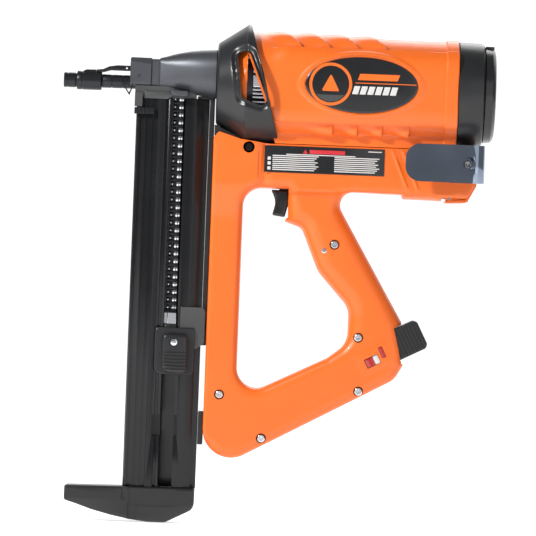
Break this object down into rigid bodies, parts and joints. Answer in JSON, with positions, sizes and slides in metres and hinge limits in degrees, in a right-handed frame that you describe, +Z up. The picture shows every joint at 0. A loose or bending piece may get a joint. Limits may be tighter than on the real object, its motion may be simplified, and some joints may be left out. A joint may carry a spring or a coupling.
{
  "type": "gas fastening tool",
  "caption": "Gas-combustion fastening tool: finned engine under oval-badged covers, D-handle with battery, strip magazine with follower and foot, sliding work contact.",
  "frame": {"origin": "centre of the muzzle's front face, on the barrel line", "axes": "+X runs back along the barrel, +Z is up towards the top of the covers, -Y is the tool's left side"},
  "size_m": [0.4136, 0.1156, 0.4801],
  "materials": {
    "orange_shell": "satin moulded nylon",
    "black_plastic": "fine-textured moulded plastic",
    "black_trim": "smooth black plate",
    "grey_casting": "dark coated die casting",
    "bare_aluminium": "machined",
    "dark_steel": "blackened steel",
    "bright_steel": "bright zinc-plated steel",
    "spring_steel": "ground steel",
    "anodised_rail": "black anodised extrusion",
    "zinc_grey": "grey zinc casting",
    "rubber": "moulded rubber",
    "foam": "open-cell foam",
    "copper": "drawn copper",
    "contact_brass": "plated contacts",
    "ceramic_white": "glazed insulator",
    "board_green": "coated circuit board",
    "coil_blue": "potted unit",
    "indicator_red": "tinted window",
    "collation": "natural nylon",
    "can_metal": "drawn can"
  },
  "bodies": {
    "root": {"handle_left": "orange_shell", "handle_right": "orange_shell", "cover_left": "orange_shell", "cover_right": "orange_shell", "front_shroud": "black_plastic", "rear_cap": "black_plastic", "filter_grille": "black_plastic", "magazine_foot": "black_plastic", "trigger_switch": "black_plastic", "metering_valve": "black_plastic", "magazine_bracket": "black_plastic", "label_plates": "black_trim", "badge_plates": "black_trim", "air_filter": "foam", "nose_casting": "grey_casting", "drive_cylinder": "bare_aluminium", "cylinder_head": "bare_aluminium", "fastener_pins": "spring_steel", "return_spring": "spring_steel", "trigger_spring": "spring_steel", "feed_ribbon": "spring_steel", "reed_valves": "spring_steel", "hinge_pin": "spring_steel", "nose_wire_clip": "dark_steel", "nose_bolts": "dark_steel", "belt_hook": "bright_steel", "hook_screw": "bright_steel", "housing_screws": "bright_steel", "foot_screws": "bright_steel", "magazine_rail": "anodised_rail", "magazine_head": "zinc_grey", "bumper": "rubber", "head_seals": "rubber", "fan_motor": "can_metal", "fuel_cell": "can_metal", "fuel_line": "copper", "battery_contacts": "contact_brass", "spark_plug": "ceramic_white", "control_board": "board_green", "spark_unit": "coil_blue", "indicator_lenses": "indicator_red", "pin_collation": "collation"},
    "work_contact": {"contact_tip": "dark_steel", "contact_sleeve": "dark_steel", "contact_arm": "dark_steel", "linkage_cage": "spring_steel", "linkage_rods": "spring_steel", "valve_sleeve": "bare_aluminium"},
    "driver": {"piston": "bare_aluminium", "piston_rings": "spring_steel", "driver_blade": "spring_steel"},
    "fan": {"fan": "bare_aluminium"},
    "trigger": {"trigger": "black_plastic"},
    "follower": {"follower_base": "black_plastic", "follower_knob": "black_plastic", "follower_pusher": "bright_steel", "follower_plate": "zinc_grey"},
    "battery": {"battery_pack": "black_plastic", "battery_cap": "black_plastic"},
    "fuel_door": {"fuel_door": "orange_shell"},
    "magazine_latch": {"magazine_latch": "black_plastic"}
  },
  "joints": [
    {"name": "contact_slide", "type": "slide", "parent": "root", "child": "work_contact", "axis": [1, 0, 0], "range_m": [0, 0.015], "stiffness_N_per_m": 900, "springref_m": -0.012, "deforming": ["return_spring"]},
    {"name": "driver_stroke", "type": "slide", "parent": "root", "child": "driver", "axis": [-1, 0, 0], "range_m": [0, 0.1]},
    {"name": "fan_spin", "type": "hinge", "parent": "root", "child": "fan", "pos_m": [0.33, 0, 0], "axis": [1, 0, 0], "continuous": true},
    {"name": "trigger_pull", "type": "slide", "parent": "root", "child": "trigger", "axis": [1, 0, 0], "range_m": [0, 0.006], "stiffness_N_per_m": 800, "springref_m": -0.003, "deforming": ["trigger_spring"]},
    {"name": "follower_feed", "type": "slide", "parent": "root", "child": "follower", "axis": [0, 0, -1], "range_m": [0, 0.1], "stiffness_N_per_m": 20, "springref_m": -0.5},
    {"name": "battery_slide", "type": "slide", "parent": "root", "child": "battery", "axis": [0.891, 0, 0.454], "range_m": [0, 0.12]},
    {"name": "fuel_door_hinge", "type": "hinge", "parent": "root", "child": "fuel_door", "pos_m": [0.373, 0, -0.1], "axis": [0, 1, 0], "range_deg": [0, 95]},
    {"name": "magazine_latch_slide", "type": "slide", "parent": "root", "child": "magazine_latch", "axis": [0, 0, -1], "range_m": [0, 0.004], "stiffness_N_per_m": 300, "springref_m": -0.003}
  ]
}
